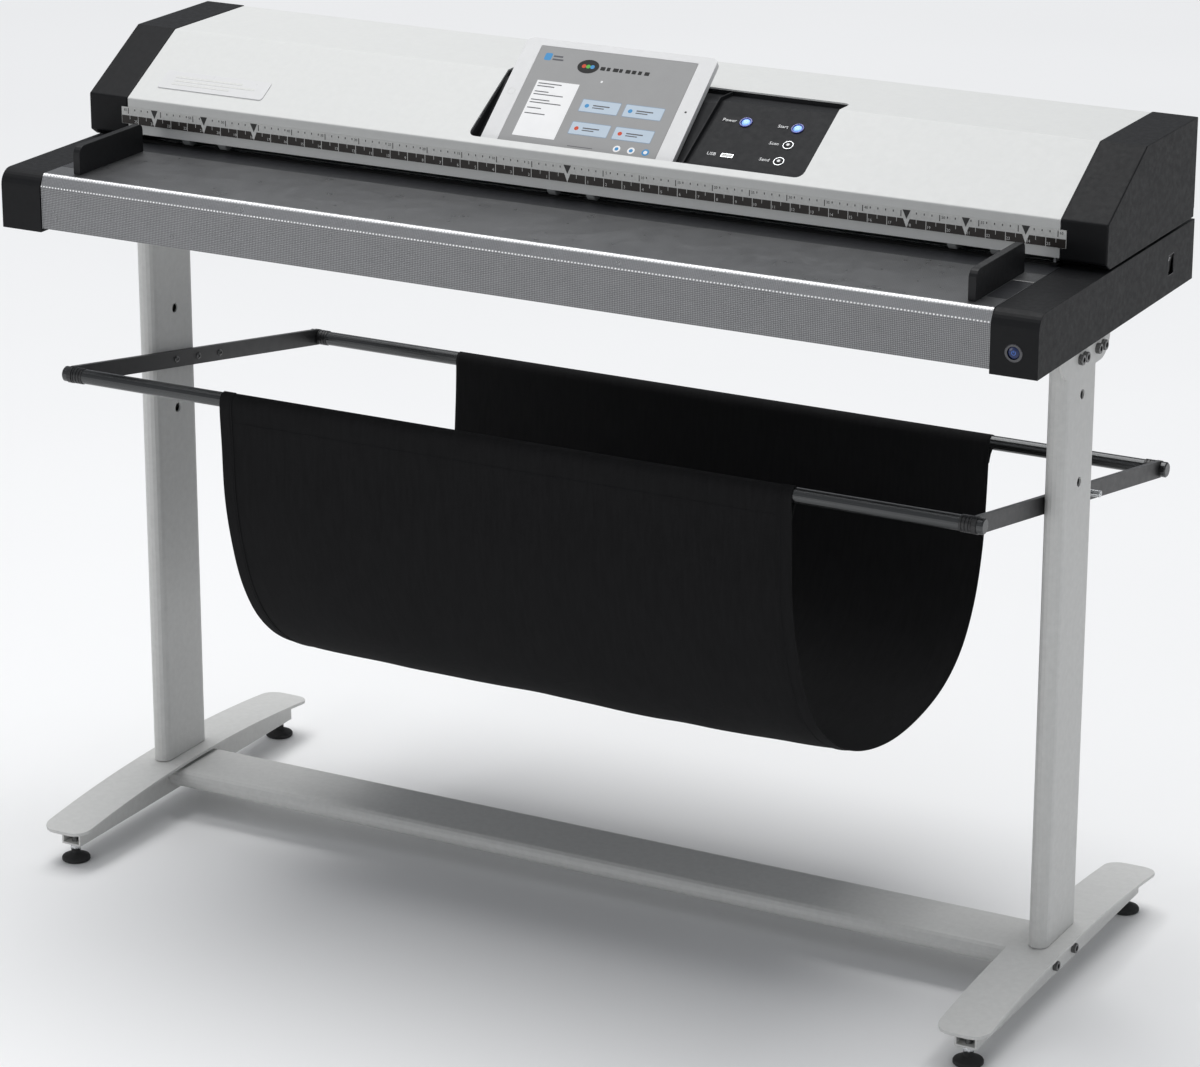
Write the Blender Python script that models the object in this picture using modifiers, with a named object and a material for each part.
"""Wide-format sheet-fed scanner on a floor stand, with a docked tablet and a fabric catch basket.

Metres, +Z up, +X along the machine, the operator stands on the -Y side.
The frame's origin is on the floor, under the centre of the whole object.
Every y below is measured from the front face of the scanner base; FRONT moves it to the frame.
"""

import math

import bmesh
import bpy
from mathutils import Matrix, Vector

# ---------------------------------------------------------------- driving dimensions
GAP = 0.0003                      # clearance between pieces that touch
HALF_WIDTH = 0.7115               # outer face of the end caps
CAP_INNER = 0.6522                # inboard edge of the end caps
MIDDLE = 0.6517                   # half width of the covers between the caps

BASE_LOW, BASE_TOP = 0.8675, 0.9429
BASE_DEPTH = 0.4896
APRON_LOW = 0.8725
CORNER_RADIUS = 0.020             # front top corner of the base
SHEET = 0.002                     # folded sheet steel
WALL = 0.0025                     # moulded caps

HEAD_FRONT, HEAD_REAR = 0.2011, 0.4870
HEAD_LOW = 0.9545                 # lip above the paper throat
CAP_LOW = 0.9455                  # underside of the head's end caps
SLOPE_LOW = 1.0014                # top of the head's upright front face
CREST_Y, HEAD_TOP = 0.3173, 1.0705
HINGE_Y, HINGE_Z = 0.4835, 0.9500
SLOPE = math.atan2(HEAD_TOP - SLOPE_LOW, CREST_Y - HEAD_FRONT)

ROLLER_RADIUS = 0.0125
FRONT_ROLLER_Y, REAR_ROLLER_Y = 0.2175, 0.3110
ROLLER_Z = BASE_TOP + 0.0008 - ROLLER_RADIUS
PRESS_RADIUS = 0.0105
PRESS_Z = ROLLER_Z + ROLLER_RADIUS + 0.0006 + PRESS_RADIUS
SHAFT_RADIUS, SHAFT_HOLE = 0.0040, 0.0044
MOTOR_Y, MOTOR_Z = 0.4000, 0.9000
PULLEY_X0, PULLEY_X1 = 0.6640, 0.6740
ROLLER_PULLEY, MOTOR_PULLEY = 0.0065, 0.0050

COLUMN_X, COLUMN_Y = 0.6475, 0.2680
OVAL_LENGTH, OVAL_WIDTH = 0.1040, 0.0255      # flat-oval stand tube
COLUMN_LOW, COLUMN_TOP = 0.0684, 0.8637
FOOT_LENGTH, FOOT_WIDTH = 0.5730, 0.0680
FOOT_TOP, FOOT_RISE, FOOT_SHEET = 0.0680, 0.0170, 0.0040
CHANNEL_LOW, CHANNEL_WIDTH, CHANNEL_LENGTH = 0.0235, 0.0290, 0.5280
CROSSBAR_LOW = 0.0337
LEVELLER_INSET = 0.0100

ROD_RADIUS, KNOB_RADIUS = 0.0095, 0.0100
FRONT_ROD = (0.0271, 0.6748)
REAR_ROD = (0.6216, 0.5721)
ROD_END = 0.6427
BAR_OUTER, BAR_INNER, BAR_WIDTH = 0.6344, 0.6284, 0.0220
FABRIC_HALF, FABRIC_SHEET = 0.4000, 0.0016
SLEEVE_RADIUS = 0.0115

BUTTON_X, BUTTON_Z, BUTTON_RING = 0.6816, 0.8962, 0.0110
SWITCH_Y, SWITCH_Z = (0.4045, 0.4245), (0.8905, 0.9165)

PANEL_LEFT, PANEL_RIGHT = -0.1490, 0.3130     # opening in the head cover
PANEL_FRONT, PANEL_REAR = 0.2122, 0.3520
PANEL_SPLIT = 0.1500                          # tablet cradle to the left, buttons to the right
PANEL_DEPTH = 0.0085
TABLET_WIDTH, TABLET_LENGTH, TABLET_THICK = 0.2700, 0.1737, 0.0080
TABLET_LEFT, TABLET_Y, TABLET_Z = -0.1375, 0.2165, 0.9963
TABLET_TILT = math.radians(39.6)

FOOT_FRONT = COLUMN_Y - FOOT_LENGTH / 2
FRONT = -(FOOT_FRONT + REAR_ROD[0] + SLEEVE_RADIUS) / 2

# colour, roughness, metallic
FINISHES = {
    "black cap": ((0.040, 0.041, 0.043), 0.55, 0.0),
    "white cover": ((0.78, 0.79, 0.78), 0.45, 0.0),
    "table steel": ((0.20, 0.205, 0.21), 0.42, 0.6),
    "zinc steel": ((0.45, 0.46, 0.47), 0.45, 0.9),
    "silver powder": ((0.48, 0.49, 0.48), 0.50, 0.3),
    "rubber": ((0.030, 0.030, 0.031), 0.80, 0.0),
    "roller grey": ((0.42, 0.43, 0.43), 0.60, 0.0),
    "glass": ((0.70, 0.75, 0.76), 0.05, 0.0),
    "black steel": ((0.020, 0.020, 0.022), 0.35, 0.4),
    "fabric": ((0.012, 0.012, 0.013), 0.90, 0.0),
    "board": ((0.03, 0.16, 0.07), 0.50, 0.0),
    "white plastic": ((0.85, 0.85, 0.85), 0.35, 0.0),
    "lit blue": ((0.15, 0.35, 0.95), 0.30, 0.0),
    "screen": ((0.36, 0.36, 0.37), 0.20, 0.0),
}

for old in list(bpy.data.objects):
    bpy.data.objects.remove(old)
PARTS = bpy.data.collections.new("wide_format_scanner")
CUTTERS = bpy.data.collections.new("cutters")
for group in (PARTS, CUTTERS):
    bpy.context.scene.collection.children.link(group)


# ---------------------------------------------------------------- modelling helpers
def dress(part, finish):
    """Give a part its own material."""
    colour, roughness, metallic = FINISHES[finish]
    material = bpy.data.materials.new(part.name)
    material.use_nodes = True
    shader = material.node_tree.nodes["Principled BSDF"]
    shader.inputs["Base Color"].default_value = (*colour, 1.0)
    shader.inputs["Roughness"].default_value = roughness
    shader.inputs["Metallic"].default_value = metallic
    part.data.materials.clear()
    part.data.materials.append(material)
    return part


def place(name, mesh, group=PARTS):
    part = bpy.data.objects.new(name, mesh)
    group.objects.link(part)
    return part


def mesh_from(name, bm, group=PARTS):
    mesh = bpy.data.meshes.new(name)
    bm.to_mesh(mesh)
    bm.free()
    return place(name, mesh, group)


def box(name, low, high, group=PARTS):
    """A box between two corners."""
    size = [high[i] - low[i] for i in range(3)]
    middle = [(high[i] + low[i]) / 2 for i in range(3)]
    middle[1] += FRONT
    bm = bmesh.new()
    bmesh.ops.create_cube(bm, size=1.0, matrix=Matrix.Translation(middle) @ Matrix.Diagonal((*size, 1.0)))
    return mesh_from(name, bm, group)


def side_box(name, side, inner, outer, y_range, z_range, group=PARTS):
    """A box between two distances from the middle, on the side given by side = -1 or 1."""
    low, high = sorted((side * inner, side * outer))
    return box(name, (low, y_range[0], z_range[0]), (high, y_range[1], z_range[1]), group)


def cylinder(name, start, end, radius, sides=24, group=CUTTERS):
    """A cylinder between two points, used as a cutter or joined to another piece."""
    start, end = Vector(start), Vector(end)
    axis = end - start
    turn = axis.to_track_quat("Z", "Y").to_matrix().to_4x4()
    middle = (start + end) / 2 + Vector((0, FRONT, 0))
    bm = bmesh.new()
    bmesh.ops.create_cone(bm, cap_ends=True, segments=sides, radius1=radius, radius2=radius,
                          depth=axis.length, matrix=Matrix.Translation(middle) @ turn)
    return mesh_from(name, bm, group)


def turned(name, origin, axis, profile, sides=24, group=PARTS):
    """A closed turned shape: profile is (radius, distance along the axis), from the far end back."""
    bm = bmesh.new()
    verts = [bm.verts.new((radius, 0, along)) for radius, along in profile]
    for a, b in zip(verts, verts[1:]):
        bm.edges.new((a, b))
    part = mesh_from(name, bm, group)
    part.location = (origin[0], origin[1] + FRONT, origin[2])
    part.rotation_euler = Vector(axis).to_track_quat("Z", "Y").to_euler()
    screw = part.modifiers.new("turn", "SCREW")
    screw.steps = screw.render_steps = sides
    screw.use_merge_vertices = True
    screw.merge_threshold = 0.00001
    screw.use_smooth_shade = True
    return part


def outline(name, points, along, low, high, group=PARTS):
    """A flat outline with thickness. along X takes (y, z), along Y takes (x, z), along Z takes (x, y)."""
    turn = {"X": Matrix(((0, 0, 1), (1, 0, 0), (0, 1, 0))),
            "Y": Matrix(((1, 0, 0), (0, 0, -1), (0, 1, 0))),
            "Z": Matrix.Identity(3)}[along].to_4x4()
    curve = bpy.data.curves.new(name, "CURVE")
    curve.dimensions = "2D"
    curve.fill_mode = "BOTH"
    curve.extrude = (high - low) / 2
    spline = curve.splines.new("POLY")
    spline.use_cyclic_u = True
    spline.points.add(len(points) - 1)
    for point, (u, v) in zip(spline.points, points):
        point.co = (u, v, 0, 1)
    middle = Vector({"X": ((low + high) / 2, 0, 0), "Y": (0, (low + high) / 2, 0),
                     "Z": (0, 0, (low + high) / 2)}[along])
    drawn = place(name, curve, group)
    drawn.matrix_world = Matrix.Translation(middle + Vector((0, FRONT, 0))) @ turn
    bpy.context.view_layer.update()
    mesh = bpy.data.meshes.new_from_object(drawn.evaluated_get(bpy.context.evaluated_depsgraph_get()))
    bm = bmesh.new()
    bm.from_mesh(mesh)
    bmesh.ops.remove_doubles(bm, verts=bm.verts, dist=0.00001)
    bmesh.ops.recalc_face_normals(bm, faces=bm.faces)
    bm.to_mesh(mesh)
    bm.free()
    matrix = drawn.matrix_world.copy()
    bpy.data.objects.remove(drawn)
    part = place(name, mesh, group)
    part.matrix_world = matrix
    return part


def folded(name, points, low_x, high_x, thickness=SHEET, group=PARTS):
    """Sheet folded along (y, z) points, its thickness to the right of the path seen from +X."""
    bm = bmesh.new()
    verts = [bm.verts.new((low_x, y + FRONT, z)) for y, z in points]
    edges = [bm.edges.new(pair) for pair in zip(verts, verts[1:])]
    swept = bmesh.ops.extrude_edge_only(bm, edges=edges)["geom"]
    moved = [item for item in swept if isinstance(item, bmesh.types.BMVert)]
    bmesh.ops.translate(bm, verts=moved, vec=(high_x - low_x, 0, 0))
    bm.normal_update()
    first = min(bm.faces, key=lambda face: (face.calc_center_median() - verts[0].co).length)
    wanted = (verts[1].co - verts[0].co).cross(Vector((1, 0, 0)))
    if first.normal.dot(wanted) < 0:
        bmesh.ops.reverse_faces(bm, faces=bm.faces)
    part = mesh_from(name, bm, group)
    thicken = part.modifiers.new("sheet", "SOLIDIFY")
    thicken.thickness = thickness
    thicken.offset = 1.0
    thicken.use_even_offset = True
    return part


def combine(part, other, operation):
    """Boolean a part with another object, which becomes a hidden cutter that follows the part."""
    for group in list(other.users_collection):
        group.objects.unlink(other)
    CUTTERS.objects.link(other)
    other.hide_render = True
    other.display_type = "WIRE"
    other.parent = part
    other.matrix_parent_inverse = part.matrix_basis.inverted()
    boolean = part.modifiers.new(operation.lower(), "BOOLEAN")
    boolean.operation = operation
    boolean.solver = "EXACT"
    boolean.object = other
    return part


def cut(part, *others):
    for other in others:
        combine(part, other, "DIFFERENCE")
    return part


def join(part, *others):
    for other in others:
        combine(part, other, "UNION")
    return part


def bevel(part, width, segments=2, angle=40):
    """Round a part's edges."""
    modifier = part.modifiers.new("bevel", "BEVEL")
    modifier.width = width
    modifier.segments = segments
    modifier.limit_method = "ANGLE"
    modifier.angle_limit = math.radians(angle)
    return part


def smooth(part, angle=35):
    part.data.shade_smooth()
    part.data.set_sharp_from_angle(angle=math.radians(angle))
    return part


def arc(centre, radius, start, end, steps):
    """Points on an arc, angles in degrees."""
    angles = [math.radians(start + (end - start) * i / steps) for i in range(steps + 1)]
    return [(centre[0] + radius * math.cos(a), centre[1] + radius * math.sin(a)) for a in angles]


def slot(a, b, radius, steps=8):
    """Outline of a bar with round ends, from centre a to centre b."""
    heading = math.degrees(math.atan2(b[1] - a[1], b[0] - a[0]))
    return (arc(b, radius, heading - 90, heading + 90, steps)
            + arc(a, radius, heading + 90, heading + 270, steps))


def rounded(low, high, radius, steps=5):
    """Outline of a rectangle with rounded corners."""
    (x0, y0), (x1, y1) = low, high
    corners = ((x1 - radius, y0 + radius, -90), (x1 - radius, y1 - radius, 0),
               (x0 + radius, y1 - radius, 90), (x0 + radius, y0 + radius, 180))
    return [p for x, y, start in corners for p in arc((x, y), radius, start, start + 90, steps)]


def soften(points, *radii, steps=4):
    """Round the bends of an open path, one radius for each inner point."""
    path = [points[0]]
    for before, here, after, radius in zip(points, points[1:], points[2:], radii):
        corner = Vector(here)
        into, away = (Vector(before) - corner).normalized(), (Vector(after) - corner).normalized()
        reach = radius / math.tan(into.angle(away) / 2)
        start, end = corner + into * reach, corner + away * reach
        for i in range(steps + 1):
            t = i / steps
            path.append(tuple(start.lerp(corner, t).lerp(corner.lerp(end, t), t)))
    return path + [points[-1]]


def inset_outline(points, distance):
    """Move every edge of a convex outline inwards, for the inside of a shell."""
    count = len(points)
    turn = sum(points[i][0] * points[(i + 1) % count][1] - points[(i + 1) % count][0] * points[i][1]
               for i in range(count))
    sign = 1 if turn > 0 else -1
    lines = []
    for i in range(count):
        a, b = Vector(points[i]), Vector(points[(i + 1) % count])
        along = (b - a).normalized()
        inward = Vector((-along.y, along.x)) * sign
        lines.append((a + inward * distance, along))
    result = []
    for i in range(count):
        (p, d), (q, e) = lines[i - 1], lines[i]
        cross = d.x * e.y - d.y * e.x
        step = ((q - p).x * e.y - (q - p).y * e.x) / cross if abs(cross) > 1e-9 else 0.0
        result.append(tuple(p + d * step) if abs(cross) > 1e-9 else tuple(q))
    return result


SIDES = (("left", -1), ("right", 1))


# ---------------------------------------------------------------- scanner base
def base_outline():
    """Side outline of the base's end caps, as (y, z)."""
    r = CORNER_RADIUS
    return ([(0.0, BASE_LOW)]
            + arc((r, BASE_TOP - r), r, 180, 90, 8)
            + [(BASE_DEPTH, BASE_TOP), (BASE_DEPTH, BASE_LOW)])


def base_caps():
    for word, side in SIDES:
        low, high = sorted((side * CAP_INNER, side * HALF_WIDTH))
        cap = bevel(outline(f"{word}_base_cap", base_outline(), "X", low, high), 0.0020, 3, 50)
        low, high = sorted((side * (CAP_INNER - 0.01), side * (HALF_WIDTH - WALL)))
        hollow = outline(f"{word}_cap_hollow", inset_outline(base_outline(), WALL), "X", low, high)
        cut(cap, hollow)
        if side > 0:
            cut(cap, cylinder("button_hole", (BUTTON_X, -0.01, BUTTON_Z), (BUTTON_X, 0.01, BUTTON_Z),
                              BUTTON_RING - 0.002))
            cut(cap, box("switch_hole", (HALF_WIDTH - 0.01, SWITCH_Y[0], SWITCH_Z[0]),
                         (HALF_WIDTH + 0.01, SWITCH_Y[1], SWITCH_Z[1])))
        dress(smooth(cap, 45), "black cap")


def base_sheets():
    tray = folded("base_tray", [(0.0045, 0.9000), (0.0045, APRON_LOW), (0.4866, APRON_LOW),
                                (0.4866, 0.9402)][::-1], -0.6550, 0.6550)
    dress(tray, "zinc steel")
    table = soften([(0.0020, APRON_LOW), (0.0020, 0.9275), (0.0092, BASE_TOP), (0.1655, BASE_TOP)],
                   0.0030, 0.0060)
    dress(smooth(folded("feed_table", table, -MIDDLE, MIDDLE), 60), "table steel")
    infeed = folded("infeed_plate", [(0.1658, 0.9300), (0.1658, BASE_TOP), (0.2080, BASE_TOP)],
                    -MIDDLE, MIDDLE)
    dress(infeed, "black cap")
    rear = folded("rear_table", [(0.3220, BASE_TOP), (BASE_DEPTH - 0.0004, BASE_TOP),
                                 (BASE_DEPTH - 0.0004, 0.9200)], -MIDDLE, MIDDLE)
    dress(rear, "black cap")


def scan_unit():
    glass = box("scan_glass", (-0.630, 0.2290, BASE_TOP - 0.006), (0.630, 0.2985, BASE_TOP))
    dress(glass, "glass")
    sensor = folded("sensor_bar", [(0.2330, 0.9366), (0.2330, 0.8920), (0.2950, 0.8920),
                                   (0.2950, 0.9366)][::-1], -0.625, 0.625)
    join(sensor, box("sensor_block", (-0.622, 0.2560, 0.8930), (0.622, 0.2720, 0.9280)))
    dress(sensor, "black steel")
    board = box("main_board", (-0.330, 0.060, 0.8800), (-0.080, 0.190, 0.8816))
    join(board, box("board_chip", (-0.230, 0.100, 0.8810), (-0.190, 0.140, 0.8900)),
         box("board_socket", (-0.320, 0.070, 0.8810), (-0.300, 0.180, 0.8930)))
    dress(board, "board")
    supply = outline("power_supply", rounded((-0.600, 0.340), (-0.420, 0.440), 0.003, 2), "Z", 0.8760, 0.9160)
    for i in range(6):
        x = -0.580 + i * 0.026
        cut(supply, box(f"vent_{i}", (x, 0.355, 0.9120), (x + 0.012, 0.425, 0.9200)))
    dress(supply, "zinc steel")


def side_frames():
    """Steel plates inside the base's end caps that carry the drive rollers."""
    for word, side in SIDES:
        low, high = sorted((side * 0.6553, side * 0.6583))
        plate = outline(f"{word}_side_frame", [(0.020, 0.8745), (0.020, 0.9050), (0.060, 0.9400),
                                               (0.480, 0.9400), (0.480, 0.8745)], "X", low, high)
        holes = [(FRONT_ROLLER_Y, ROLLER_Z), (REAR_ROLLER_Y, ROLLER_Z)]
        if side > 0:
            holes.append((MOTOR_Y, MOTOR_Z))
        for number, (y, z) in enumerate(holes):
            cut(plate, cylinder(f"{word}_bearing_{number}", (side * 0.640, y, z), (side * 0.670, y, z),
                                SHAFT_HOLE, 16))
        dress(plate, "zinc steel")


def drive_roller(name, y):
    """A rubber roller on its shaft, with the toothed pulley at its right end."""
    body, shaft_end = 0.6450, 0.6620
    profile = [(0, PULLEY_X1 + 0.003), (SHAFT_RADIUS, PULLEY_X1 + 0.003), (SHAFT_RADIUS, PULLEY_X1),
               (ROLLER_PULLEY, PULLEY_X1), (ROLLER_PULLEY, PULLEY_X0), (SHAFT_RADIUS, PULLEY_X0),
               (SHAFT_RADIUS, body), (ROLLER_RADIUS, body), (ROLLER_RADIUS, -body),
               (SHAFT_RADIUS, -body), (SHAFT_RADIUS, -shaft_end), (0, -shaft_end)]
    dress(turned(name, (0, y, ROLLER_Z), (1, 0, 0), profile, 20), "rubber")


def belt_loop(growth):
    """Outline of the belt round its three pulleys: the hull of three circles."""
    circles = ((FRONT_ROLLER_Y, ROLLER_Z, ROLLER_PULLEY), (REAR_ROLLER_Y, ROLLER_Z, ROLLER_PULLEY),
               (MOTOR_Y, MOTOR_Z, MOTOR_PULLEY))
    points = sorted(p for y, z, r in circles for p in arc((y, z), r + growth, 0, 345, 23))

    def half(ordered):
        chain = []
        for p in ordered:
            while len(chain) > 1 and ((chain[-1][0] - chain[-2][0]) * (p[1] - chain[-2][1])
                                      - (chain[-1][1] - chain[-2][1]) * (p[0] - chain[-2][0])) <= 1e-12:
                chain.pop()
            chain.append(p)
        return chain[:-1]

    return half(points) + half(points[::-1])


def transport():
    drive_roller("front_drive_roller", FRONT_ROLLER_Y)
    drive_roller("rear_drive_roller", REAR_ROLLER_Y)
    half = 0.021
    motor = outline("transport_motor", rounded((MOTOR_Y - half, MOTOR_Z - half),
                                               (MOTOR_Y + half, MOTOR_Z + half), 0.004, 2),
                    "X", 0.6120, 0.6520)
    shaft = cylinder("motor_shaft", (0.650, MOTOR_Y, MOTOR_Z), (0.6760, MOTOR_Y, MOTOR_Z), 0.0025, 12)
    dress(join(motor, shaft), "black steel")
    bore = 0.0028
    pulley = turned("motor_pulley", (0, MOTOR_Y, MOTOR_Z), (1, 0, 0),
                    [(bore, PULLEY_X1), (MOTOR_PULLEY, PULLEY_X1), (MOTOR_PULLEY, PULLEY_X0),
                     (bore, PULLEY_X0), (bore, PULLEY_X1)], 20)
    dress(pulley, "zinc steel")
    belt = outline("drive_belt", belt_loop(0.0014), "X", 0.6650, 0.6730)
    cut(belt, outline("belt_inside", belt_loop(0.0004), "X", 0.6600, 0.6800))
    dress(belt, "rubber")


def base_controls():
    ring = turned("button_ring", (BUTTON_X, 0, BUTTON_Z), (0, -1, 0),
                  [(0.0078, 0.0010), (BUTTON_RING - 0.001, 0.0010), (BUTTON_RING, 0.0004), (BUTTON_RING, 0.0003),
                   (BUTTON_RING - 0.0024, 0.0003), (BUTTON_RING - 0.0024, -0.0060), (0.0078, -0.0060),
                   (0.0078, 0.0010)], 24)
    dress(ring, "zinc steel")
    button = turned("front_button", (BUTTON_X, 0, BUTTON_Z), (0, -1, 0),
                    [(0, 0.0004), (0.0040, 0.0003), (0.0066, -0.0004), (0.0074, -0.0014),
                     (0.0074, -0.0120), (0, -0.0120)], 24)
    dress(button, "lit blue")
    middle_y = sum(SWITCH_Y) / 2
    middle_z = sum(SWITCH_Z) / 2
    half_z = (SWITCH_Z[1] - SWITCH_Z[0]) / 2 - 0.0012
    face = HALF_WIDTH - 0.0016
    rocker = outline("rocker_switch", [(face - 0.0080, middle_z - half_z + 0.0020),
                                       (face - 0.0056, middle_z - half_z), (face - 0.0034, middle_z - half_z),
                                       (face - 0.0024, middle_z), (face, middle_z + half_z - 0.0002),
                                       (face - 0.0044, middle_z + half_z),
                                       (face - 0.0080, middle_z + half_z - 0.0020)],
                     "Y", middle_y - 0.0085, middle_y + 0.0085)
    dress(rocker, "black steel")
    inlet = box("power_inlet", (0.662, BASE_DEPTH - 0.0295, 0.8780), (0.702, BASE_DEPTH - WALL - GAP, 0.9060))
    cut(inlet, box("inlet_socket", (0.667, BASE_DEPTH - 0.0200, 0.8820), (0.697, BASE_DEPTH + 0.0100, 0.9020)))
    dress(inlet, "black cap")
    cut(bpy.data.objects["right_base_cap"],
        box("inlet_window", (0.667, BASE_DEPTH - 0.0100, 0.8820), (0.697, BASE_DEPTH + 0.0100, 0.9020)))


def hinges():
    """Fixed half of the head's hinges: a foot, two ears and the pin between them."""
    for word, side in SIDES:
        foot = side_box(f"{word}_hinge", side, 0.6640, 0.6895, (0.4500, 0.4892), (0.9432, 0.9447))
        for number, (inner, outer) in enumerate(((0.6650, 0.6690), (0.6850, 0.6890))):
            low, high = sorted((side * inner, side * outer))
            ear = outline(f"{word}_ear_{number}", [(0.4700, 0.9440), (0.4885, 0.9440)]
                          + arc((HINGE_Y, HINGE_Z), 0.0050, 0, 150, 8), "X", low, high)
            join(foot, ear)
        join(foot, cylinder(f"{word}_pin", (side * 0.6660, HINGE_Y, HINGE_Z), (side * 0.6880, HINGE_Y, HINGE_Z),
                            0.0030, 16))
        dress(foot, "zinc steel")


def paper_guides():
    """Upright plates on the table, moved along X to the width of the sheet."""
    for word, low in (("left", -0.6145), ("right", 0.6140)):
        z0, z1 = BASE_TOP + GAP, BASE_TOP + 0.0370
        y0, y1 = 0.0225, 0.1650
        side = ([(y0, z0)] + arc((y0 + 0.012, z1 - 0.012), 0.012, 180, 90, 5)
                + arc((y1 - 0.008, z1 - 0.008), 0.008, 90, 0, 4) + [(y1, z0)])
        guide = outline(f"{word}_paper_guide", side, "X", low, low + 0.0100)
        dress(smooth(bevel(guide, 0.0012, 2, 50)), "black cap")


# ---------------------------------------------------------------- hinged head
def head_outline(inset=0.0):
    """Side outline of the head's end caps, as (y, z)."""
    points = [(HEAD_FRONT, 0.9535), (HEAD_FRONT, SLOPE_LOW), (CREST_Y, HEAD_TOP), (HEAD_REAR, HEAD_TOP),
              (HEAD_REAR, CAP_LOW), (HEAD_FRONT + 0.012, CAP_LOW)]
    return inset_outline(points, inset) if inset else points


def head_caps():
    for word, side in SIDES:
        low, high = sorted((side * CAP_INNER, side * HALF_WIDTH))
        cap = bevel(outline(f"{word}_head_cap", head_outline(), "X", low, high), 0.0020, 3)
        inside = [(HEAD_FRONT + WALL, 0.9500), (HEAD_FRONT + WALL, SLOPE_LOW - 0.0014),
                  (CREST_Y + 0.0007, HEAD_TOP - WALL), (HEAD_REAR - WALL, HEAD_TOP - WALL),
                  (HEAD_REAR - WALL, 0.9575), (HEAD_REAR + 0.01, 0.9575), (HEAD_REAR + 0.01, CAP_LOW - 0.01),
                  (0.2250, CAP_LOW - 0.01), (0.2250, 0.9500)]
        low, high = sorted((side * (CAP_INNER - 0.01), side * (HALF_WIDTH - WALL)))
        cut(cap, outline(f"{word}_head_hollow", inside, "X", low, high))
        cut(cap, side_box(f"{word}_swing_notch", side, CAP_INNER - 0.01, HALF_WIDTH + 0.01,
                          (HEAD_REAR - 0.003, HEAD_REAR + 0.01), (CAP_LOW - 0.01, 0.9575)))
        dress(smooth(cap, 45), "black cap")


def panel_cutter(name, shrink, low, high):
    """Plan outline of the control opening."""
    return outline(name, rounded((PANEL_LEFT + shrink, PANEL_FRONT + shrink),
                                 (PANEL_RIGHT - shrink, PANEL_REAR - shrink), 0.010, 4), "Z", low, high)


def head_cover():
    inset = 0.0008
    path = [(HEAD_FRONT + inset, HEAD_LOW), (HEAD_FRONT + inset, SLOPE_LOW - 0.0004),
            (CREST_Y + 0.0002, HEAD_TOP - inset), (HEAD_REAR - inset, HEAD_TOP - inset),
            (HEAD_REAR - inset, 0.9580)]
    cover = folded("head_cover", soften(path, 0.0025, 0.0060, 0.0030), -MIDDLE, MIDDLE)
    cut(cover, panel_cutter("panel_opening", 0.0, 0.99, 1.20))
    dress(smooth(cover, 45), "white cover")
    strip = box("ruler_strip", (-0.6604, 0.1999, 0.9672), (0.6604, HEAD_FRONT - GAP, 0.9892))
    dress(strip, "white plastic")


def head_frame():
    """Three rails between two end plates, with the moving half of the hinges."""
    frame = box("head_frame", (-0.6450, 0.2330, 0.9590), (0.6450, 0.2950, 0.9620))
    join(frame, box("frame_rear_rail", (-0.6450, 0.3260, 0.9590), (0.6450, 0.4700, 0.9610)),
         box("frame_front_rail", (-0.6450, 0.2045, 0.9580), (0.6450, 0.2065, 0.9780)))
    for word, side in SIDES:
        low, high = sorted((side * 0.6440, side * 0.6470))
        plate = outline(f"{word}_end_plate", [(0.2043, 0.9480), (0.2043, 0.9950), (0.3180, 1.0620),
                                              (0.4780, 1.0620), (0.4780, 0.9480)], "X", low, high)
        join(frame, plate)
        arm = side_box(f"{word}_hinge_bar", side, 0.6460, 0.6836, (0.4660, 0.4760), (0.9620, 0.9755))
        lug = side_box(f"{word}_hinge_lug", side, 0.6698, 0.6842, (0.4700, 0.4815), (0.9510, 0.9745))
        barrel = cylinder(f"{word}_barrel", (side * 0.6694, HINGE_Y, HINGE_Z),
                          (side * 0.6846, HINGE_Y, HINGE_Z), 0.0050, 20)
        join(frame, arm, lug, barrel)
        cut(frame, cylinder(f"{word}_barrel_bore", (side * 0.6600, HINGE_Y, HINGE_Z),
                            (side * 0.6950, HINGE_Y, HINGE_Z), 0.0033, 20))
        for number, y in enumerate((FRONT_ROLLER_Y, REAR_ROLLER_Y)):
            cut(frame, cylinder(f"{word}_press_hole_{number}", (side * 0.6300, y, PRESS_Z),
                                (side * 0.6550, y, PRESS_Z), SHAFT_HOLE, 16))
    dress(frame, "zinc steel")
    background = folded("background_plate", [(0.2380, 0.9586), (0.2380, 0.9452), (0.2900, 0.9452),
                                             (0.2900, 0.9586)][::-1], -0.6250, 0.6250)
    dress(background, "white plastic")


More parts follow.
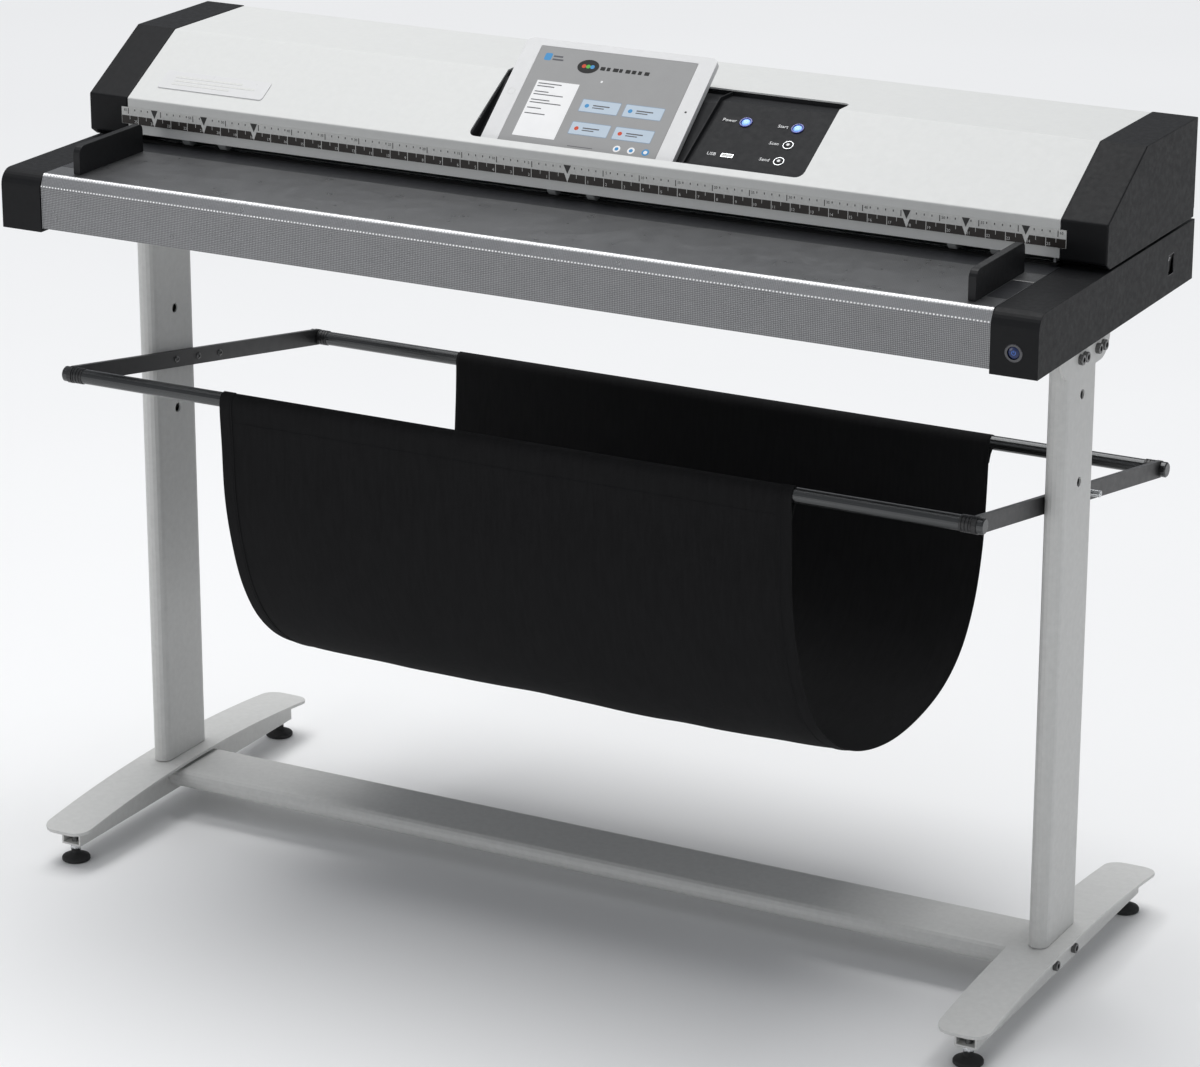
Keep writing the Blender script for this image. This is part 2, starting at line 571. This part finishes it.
def press_rollers():
    """Front: six narrow wheels on a shaft, in pairs. Rear: one long sleeve."""
    end, wheel_half = 0.6500, 0.0060
    profile = [(0, end), (SHAFT_RADIUS, end)]
    for pair in (0.540, 0.0, -0.540):
        for offset in (0.0275, -0.0275):
            middle = pair + offset
            profile += [(SHAFT_RADIUS, middle + wheel_half), (PRESS_RADIUS - 0.001, middle + wheel_half),
                        (PRESS_RADIUS, middle + wheel_half - 0.001), (PRESS_RADIUS, middle - wheel_half + 0.001),
                        (PRESS_RADIUS - 0.001, middle - wheel_half), (SHAFT_RADIUS, middle - wheel_half)]
    profile += [(SHAFT_RADIUS, -end), (0, -end)]
    dress(turned("front_press_roller", (0, FRONT_ROLLER_Y, PRESS_Z), (1, 0, 0), profile, 20), "roller grey")
    sleeve = 0.6350
    profile = [(0, end), (SHAFT_RADIUS, end), (SHAFT_RADIUS, sleeve), (PRESS_RADIUS, sleeve),
               (PRESS_RADIUS, -sleeve), (SHAFT_RADIUS, -sleeve), (SHAFT_RADIUS, -end), (0, -end)]
    dress(turned("rear_press_roller", (0, REAR_ROLLER_Y, PRESS_Z), (1, 0, 0), profile, 20), "roller grey")


def on_slope(distance, depth=0.0):
    """(y, z) at a distance up the head's slope, at a depth below its surface."""
    return (HEAD_FRONT + distance * math.cos(SLOPE) + depth * math.sin(SLOPE),
            SLOPE_LOW + distance * math.sin(SLOPE) - depth * math.cos(SLOPE))


def on_tablet(distance, depth=0.0):
    """(y, z) at a distance up the tablet's face, at a depth behind it."""
    return (TABLET_Y + distance * math.cos(TABLET_TILT) + depth * math.sin(TABLET_TILT),
            TABLET_Z + distance * math.sin(TABLET_TILT) - depth * math.cos(TABLET_TILT))


BUTTONS = {"power_button": (0.1987, 0.1016, "lit blue"), "start_button": (0.2687, 0.1018, "lit blue"),
           "scan_button": (0.2687, 0.0716, "zinc steel"), "send_button": (0.2683, 0.0427, "zinc steel")}
USB_X, USB_UP = 0.1988, 0.0415


def control_panel():
    """Sunk panel: a deep cradle for the tablet at the left, a flat floor with buttons at the right."""
    left, right, wall = PANEL_LEFT + 0.0005, PANEL_RIGHT - 0.0005, 0.0016
    front, rear = PANEL_FRONT + 0.0008, PANEL_REAR - 0.0005
    rim, flat, above = HEAD_TOP - 0.0036, HEAD_TOP - PANEL_DEPTH, 1.15
    rim_front = SLOPE_LOW + (front - HEAD_FRONT) * math.tan(SLOPE) - 0.0047
    start, crest = on_slope(0.0230, PANEL_DEPTH), on_slope(0.1352, PANEL_DEPTH)
    seat, back = on_tablet(-0.0008, -0.0020), on_tablet(-0.0008, TABLET_THICK + 0.0006)
    knee, top = on_tablet(0.0700, TABLET_THICK + 0.0006), on_tablet(0.1120, TABLET_THICK + 0.0006)
    panel = outline("control_panel", [(front - wall, rim_front), (front - wall, seat[1] - wall),
                                      (back[0], back[1] - 0.0020), (knee[0], knee[1] - 0.0030),
                                      (crest[0] + 0.0020, flat - wall), (rear + wall, flat - wall), (rear + wall, rim), (CREST_Y, rim)],
                    "X", left, right)
    cradle = [(front, above), (front, seat[1]), seat, back, top, (top[0] + 0.004, flat), (rear, flat),
              (rear, above)]
    floor = [(front, above), (front, start[1] - 0.002), start, (crest[0], flat), (rear, flat), (rear, above)]
    under = [(front, start[1] - 0.0050), (start[0] + 0.001, start[1] - 0.0022),
             (crest[0] + 0.001, flat - wall - 0.0005), (crest[0] + 0.001, 0.95), (front, 0.95)]
    cut(panel, outline("cradle_space", cradle, "X", left + wall, PANEL_SPLIT),
        outline("panel_space", floor, "X", PANEL_SPLIT + wall, right - wall),
        outline("panel_underside", under, "X", PANEL_SPLIT + wall, right - wall))
    down = Vector((0, *on_slope(0, 1.0))) - Vector((0, *on_slope(0, 0)))
    for name, (x, up, finish) in BUTTONS.items():
        y, z = on_slope(up, PANEL_DEPTH)
        radius = 0.0055 if finish == "lit blue" else 0.0050
        reach = 0.0060
        cut(panel, cylinder(f"{name}_hole", (x, y - down.y * 0.01, z - down.z * 0.01),
                            (x, y + down.y * reach, z + down.z * reach), radius + GAP, 20))
        cap = turned(name, (x, y, z), (-down.x, -down.y, -down.z),
                     [(0, 0.0012), (radius * 0.6, 0.0011), (radius - 0.0006, 0.0006), (radius, 0.0),
                      (radius, -0.0050), (0, -0.0050)], 20)
        dress(cap, finish)
    dress(panel, "black cap")


def usb_socket():
    y, z = on_slope(USB_UP, PANEL_DEPTH)
    half_x, half_y = 0.0080, 0.0030
    turn = Matrix.Translation((USB_X, y + FRONT, z)) @ Matrix.Rotation(SLOPE, 4, "X")
    low, high = -0.0090, 0.0004

    def block(name, x, v, bottom, top, group):
        bm = bmesh.new()
        bmesh.ops.create_cube(bm, size=1.0, matrix=turn @ Matrix.Translation((0, 0, (bottom + top) / 2))
                              @ Matrix.Diagonal((2 * x, 2 * v, top - bottom, 1)))
        return mesh_from(name, bm, group)

    cut(bpy.data.objects["control_panel"], block("usb_window", half_x + GAP, half_y + GAP, -0.012, 0.010, CUTTERS))
    socket = block("usb_socket", half_x, half_y, low, high, PARTS)
    cut(socket, block("usb_mouth", half_x - 0.0008, half_y - 0.0008, low + 0.001, high + 0.01, CUTTERS))
    dress(socket, "zinc steel")


def tablet():
    """The tablet leans back on the cradle, its lower edge on the seat."""
    tilt = Matrix.Translation((TABLET_LEFT, TABLET_Y + FRONT, TABLET_Z)) @ Matrix.Rotation(TABLET_TILT, 4, "X")
    outer = rounded((0, 0), (TABLET_WIDTH, TABLET_LENGTH), 0.0090, 5)
    side, bezel = 0.0242, 0.0111
    body = outline("tablet_body", outer, "Z", -TABLET_THICK, 0)
    window = rounded((side, bezel), (TABLET_WIDTH - side, TABLET_LENGTH - bezel), 0.0008, 1)
    pocket = outline("tablet_pocket", window, "Z", -0.0012, 0.01)
    inner = rounded((side + GAP, bezel + GAP), (TABLET_WIDTH - side - GAP, TABLET_LENGTH - bezel - GAP),
                    0.0008, 1)
    screen = outline("tablet_screen", inner, "Z", -0.0012 + GAP, -0.0001)
    for part in (body, pocket, screen):
        part.matrix_world = tilt @ Matrix.Translation((0, -FRONT, 0)) @ part.matrix_world
    cut(body, pocket)
    dress(bevel(body, 0.0015, 2, 60), "white plastic")
    dress(screen, "screen")


# ---------------------------------------------------------------- stand
def oval(name, along, centre, low, high, wall):
    """A flat-oval tube, open at both ends, along Z (a column) or along X (the crossbar)."""
    radius = OVAL_WIDTH / 2
    reach = OVAL_LENGTH / 2 - radius
    if along == "Z":
        ends = (centre[0], centre[1] - reach), (centre[0], centre[1] + reach)
    else:
        ends = (centre[0] - reach, centre[1]), (centre[0] + reach, centre[1])
    tube = outline(name, slot(*ends, radius), along, low, high)
    cut(tube, outline(f"{name}_inside", slot(*ends, radius - wall), along, low - 0.01, high + 0.01))
    return tube


def columns():
    outer_holes, inner_holes, hole_y = (0.7714, 0.6611), (0.7022, 0.5632), COLUMN_Y + 0.0025
    for word, side in SIDES:
        column = oval(f"{word}_column", "Z", (side * COLUMN_X, COLUMN_Y), COLUMN_LOW, COLUMN_TOP, 0.0025)
        for heights, near, far in ((outer_holes, COLUMN_X, COLUMN_X + 0.03), (inner_holes, COLUMN_X, COLUMN_X - 0.03)):
            for z in heights:
                cut(column, cylinder(f"{word}_hole_{z}", (side * near, hole_y, z), (side * far, hole_y, z),
                                     0.0063, 16))
        dress(smooth(column), "silver powder")
        bracket = side_box(f"{word}_column_bracket", side, 0.6150, 0.6900, (0.1950, 0.3410),
                           (COLUMN_TOP + GAP, BASE_LOW - GAP))
        low, high = sorted((side * (COLUMN_X + OVAL_WIDTH / 2 + GAP), side * 0.6640))
        radius = 0.0300
        cheek = outline(f"{word}_cheek", [(0.3450, 0.8660), (0.1910, 0.8660)]
                        + arc((0.1910 + radius, 0.8030 + radius), radius, 180, 270, 6)
                        + arc((0.3450 - radius, 0.8030 + radius), radius, 270, 360, 6), "X", low, high)
        dress(join(bracket, cheek), "silver powder")


def foot_arch(y):
    """Height of the foot plate's top at y: a shallow arch."""
    return FOOT_TOP - FOOT_RISE * ((y - COLUMN_Y) / (FOOT_LENGTH / 2)) ** 2


def feet():
    half = FOOT_LENGTH / 2
    steps = 20
    for word, side in SIDES:
        x = side * COLUMN_X
        ys = [COLUMN_Y - half - 0.01 + (2 * half + 0.02) * i / steps for i in range(steps + 1)]
        plate = folded(f"{word}_foot_plate", [(y, foot_arch(y)) for y in ys], x - 0.05, x + 0.05, FOOT_SHEET)
        plan = rounded((x - FOOT_WIDTH / 2, COLUMN_Y - half), (x + FOOT_WIDTH / 2, COLUMN_Y + half), 0.022, 5)
        combine(plate, outline(f"{word}_foot_plan", plan, "Z", 0.0, 0.10), "INTERSECT")
        dress(smooth(plate), "silver powder")
        ends = (COLUMN_Y - CHANNEL_LENGTH / 2, COLUMN_Y + CHANNEL_LENGTH / 2)
        ys = [ends[1] + (ends[0] - ends[1]) * i / 16 for i in range(17)]
        side_view = [(ends[0], CHANNEL_LOW), (ends[1], CHANNEL_LOW)]
        side_view += [(y, foot_arch(y) - FOOT_SHEET - 0.0005) for y in ys]
        channel = outline(f"{word}_foot_channel", side_view, "X", x - CHANNEL_WIDTH / 2, x + CHANNEL_WIDTH / 2)
        cut(channel, box(f"{word}_channel_inside", (x - 0.012, ends[0] - 0.01, CHANNEL_LOW + 0.0025),
                         (x + 0.012, ends[1] + 0.01, 0.0425)))
        for end, y in (("front", ends[0] + LEVELLER_INSET), ("rear", ends[1] - LEVELLER_INSET)):
            cut(channel, cylinder(f"{word}_{end}_stud_hole", (x, y, 0.015), (x, y, 0.032), 0.0046, 16))
            leveller = turned(f"{word}_{end}_leveller", (x, y, 0), (0, 0, 1),
                              [(0, 0.0405), (0.0040, 0.0405), (0.0040, 0.0150), (0.0062, 0.0150),
                               (0.0062, 0.0100), (0.0100, 0.0088), (0.0180, 0.0052), (0.0190, 0.0036),
                               (0.0190, 0.0008), (0.0182, 0.0), (0, 0.0)], 24)
            dress(leveller, "rubber")
        dress(channel, "silver powder")
    inner = COLUMN_X - CHANNEL_WIDTH / 2 - GAP
    bar = oval("crossbar", "X", (COLUMN_Y, CROSSBAR_LOW + OVAL_WIDTH / 2), -inner, inner, 0.0025)
    dress(smooth(bar), "silver powder")


# ---------------------------------------------------------------- catch basket
def basket_frame():
    stub = 0.0040
    for name, (y, z) in (("front_rod", FRONT_ROD), ("rear_rod", REAR_ROD)):
        inner, outer = BAR_INNER - GAP, BAR_OUTER + GAP
        half = [(0, ROD_END), (KNOB_RADIUS - 0.0015, ROD_END), (KNOB_RADIUS, ROD_END - 0.0015),
                (KNOB_RADIUS, outer), (stub, outer), (stub, inner), (ROD_RADIUS, inner)]
        profile = half + [(r, -x) for r, x in reversed(half)]
        dress(turned(name, (0, y, z), (1, 0, 0), profile, 24), "black steel")
    for word, side in SIDES:
        low, high = sorted((side * BAR_INNER, side * BAR_OUTER))
        bar = outline(f"{word}_side_bar", slot(FRONT_ROD, REAR_ROD, BAR_WIDTH / 2), "X", low, high)
        for number, (y, z) in enumerate((FRONT_ROD, REAR_ROD)):
            cut(bar, cylinder(f"{word}_rod_hole_{number}", (side * 0.62, y, z), (side * 0.64, y, z),
                              stub + GAP, 24))
        dress(bar, "black steel")


def hang_curve():
    """The fabric's inner side as (y, z): over the front rod, down, round the bottom, over the rear rod."""
    front = arc(FRONT_ROD, SLEEVE_RADIUS - FABRIC_SHEET, -60, 175, 10)
    knots = [(0.0180, 0.6200), (0.0215, 0.5500), (0.0335, 0.4850), (0.0560, 0.4200), (0.0940, 0.3600),
             (0.1500, 0.3110), (0.2250, 0.2760), (0.3150, 0.2575), (0.4050, 0.2570), (0.4850, 0.2740),
             (0.5430, 0.3100), (0.5800, 0.3650), (0.6010, 0.4350), (0.6090, 0.5050)]
    rear = [(REAR_ROD[0] - SLEEVE_RADIUS + 0.0005, REAR_ROD[1] - 0.012)]
    rear += arc(REAR_ROD, SLEEVE_RADIUS, 175, -50, 10)
    return front + knots + rear


def basket_fabric():
    fabric = folded("basket_fabric", hang_curve(), -FABRIC_HALF, FABRIC_HALF, FABRIC_SHEET)
    dress(smooth(fabric, 60), "fabric")


# ---------------------------------------------------------------- joints
def joint_frame(name, point, *parts):
    """An empty on a joint's axis that carries the parts which move with the joint."""
    empty = bpy.data.objects.new(name, None)
    empty.location = (point[0], point[1] + FRONT, point[2])
    empty.empty_display_size = 0.03
    PARTS.objects.link(empty)
    for part in parts:
        part = bpy.data.objects[part]
        part.parent = empty
        part.matrix_parent_inverse = Matrix.Translation(-empty.location)
    return empty


def joints():
    """Turned pieces already have their origins on their own axes; these carry everything else."""
    head = joint_frame("head_hinge_axis", (0, HINGE_Y, HINGE_Z), "head_cover", "left_head_cap",
                       "right_head_cap", "head_frame", "background_plate", "ruler_strip", "control_panel",
                       "usb_socket", "front_press_roller", "rear_press_roller", *BUTTONS)
    tray = joint_frame("tablet_lift_axis", (TABLET_LEFT, TABLET_Y, TABLET_Z), "tablet_body", "tablet_screen")
    tray.parent = head
    tray.matrix_parent_inverse = Matrix.Translation(-head.location)
    joint_frame("rocker_axis", (HALF_WIDTH - 0.0076, sum(SWITCH_Y) / 2, sum(SWITCH_Z) / 2), "rocker_switch")
    for word, x in (("left", -0.6095), ("right", 0.6190)):
        joint_frame(f"{word}_guide_axis", (x, 0.0940, BASE_TOP), f"{word}_paper_guide")


def build():
    base_caps()
    base_sheets()
    scan_unit()
    side_frames()
    transport()
    base_controls()
    hinges()
    paper_guides()
    head_caps()
    head_cover()
    head_frame()
    press_rollers()
    control_panel()
    usb_socket()
    tablet()
    columns()
    feet()
    basket_frame()
    basket_fabric()
    joints()


build()
